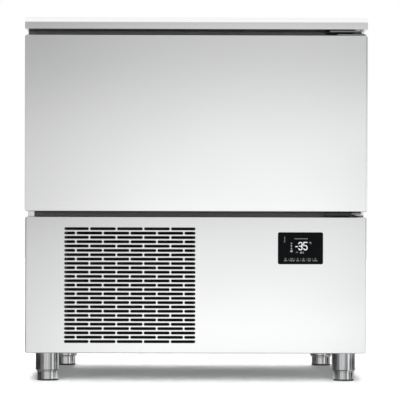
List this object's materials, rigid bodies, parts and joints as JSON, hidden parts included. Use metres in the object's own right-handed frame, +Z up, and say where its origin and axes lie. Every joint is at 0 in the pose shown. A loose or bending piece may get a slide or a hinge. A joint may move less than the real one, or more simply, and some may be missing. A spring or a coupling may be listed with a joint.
{
  "type": "blast chiller",
  "caption": "Undercounter stainless steel blast chiller with a hinged insulated door, slotted front panel, touch display and adjustable legs",
  "frame": {"origin": "on the floor, under the middle of the worktop", "axes": "+Z up, +X to the right seen from the front, +Y to the rear, so the door faces -Y"},
  "size_m": [0.8, 0.76, 0.85],
  "materials": {
    "stainless": "satin",
    "polished": "polished",
    "galvanised": "satin",
    "black_plastic": "satin",
    "display_glass": "gloss",
    "foam": "matte",
    "fins": "satin",
    "copper": "satin",
    "brass": "satin",
    "black_paint": "satin",
    "rubber": "matte",
    "nylon": "satin"
  },
  "bodies": {
    "cabinet": {"worktop": "stainless", "left_side_panel": "stainless", "right_side_panel": "stainless", "base_tray": "galvanised", "deck_panel": "galvanised", "rear_panel": "stainless", "cable_gland": "black_plastic", "front_left_leg": "polished", "front_right_leg": "polished", "rear_left_leg": "polished", "rear_right_leg": "polished", "front_panel": "stainless", "display_glass": "display_glass", "display_housing": "black_plastic", "breaker_frame": "black_plastic", "inner_liner": "stainless", "cabinet_insulation": "foam", "left_rack": "stainless", "right_rack": "stainless", "evaporator_fan_motor": "black_paint", "condenser_fan_motor": "black_paint", "fan_deflector": "stainless", "evaporator_coil": "fins", "evaporator_drip_tray": "stainless", "drain_pipe": "nylon", "condensate_pan": "galvanised", "condenser_coil": "black_paint", "condenser_fan_shroud": "galvanised", "compressor_shell": "black_paint", "compressor_terminal_cover": "black_plastic", "compressor_grommet_front_left": "rubber", "compressor_grommet_front_right": "rubber", "compressor_grommet_rear_left": "rubber", "compressor_grommet_rear_right": "rubber", "liquid_receiver": "black_paint", "expansion_valve": "brass", "suction_pipe": "copper", "discharge_pipe": "copper", "condenser_outlet_pipe": "copper", "liquid_line": "copper", "electrical_box": "galvanised", "electrical_box_lid": "galvanised", "upper_hinge_bracket": "stainless", "lower_hinge_bracket": "stainless", "upper_hinge_pin": "polished", "lower_hinge_pin": "polished"},
    "door": {"door_outer_skin": "stainless", "door_grip_profile": "stainless", "door_insulation": "foam", "door_inner_skin": "stainless", "door_gasket": "rubber", "upper_door_hinge_plate": "stainless", "upper_hinge_bush": "nylon", "lower_hinge_bush": "nylon"},
    "front_left_foot": {"front_left_foot": "polished"},
    "front_right_foot": {"front_right_foot": "polished"},
    "rear_left_foot": {"rear_left_foot": "polished"},
    "rear_right_foot": {"rear_right_foot": "polished"},
    "evaporator_fan": {"evaporator_fan_blade": "fins"},
    "condenser_fan": {"condenser_fan_blade": "fins"}
  },
  "joints": [
    {"name": "door_hinge", "type": "hinge", "parent": "cabinet", "child": "door", "pos_m": [0.375, -0.36, 0.603], "axis": [0, 0, 1], "range_deg": [0, 110]},
    {"name": "front_left_foot_screw", "type": "slide", "parent": "cabinet", "child": "front_left_foot", "axis": [0, 0, -1], "range_m": [0, 0.02]},
    {"name": "front_right_foot_screw", "type": "slide", "parent": "cabinet", "child": "front_right_foot", "axis": [0, 0, -1], "range_m": [0, 0.02]},
    {"name": "rear_left_foot_screw", "type": "slide", "parent": "cabinet", "child": "rear_left_foot", "axis": [0, 0, -1], "range_m": [0, 0.02]},
    {"name": "rear_right_foot_screw", "type": "slide", "parent": "cabinet", "child": "rear_right_foot", "axis": [0, 0, -1], "range_m": [0, 0.02]},
    {"name": "evaporator_fan_spin", "type": "hinge", "parent": "cabinet", "child": "evaporator_fan", "pos_m": [0, 0.17, 0.603], "axis": [0, 1, 0], "continuous": true},
    {"name": "condenser_fan_spin", "type": "hinge", "parent": "cabinet", "child": "condenser_fan", "pos_m": [-0.1545, -0.14, 0.2134], "axis": [0, 1, 0], "continuous": true}
  ]
}
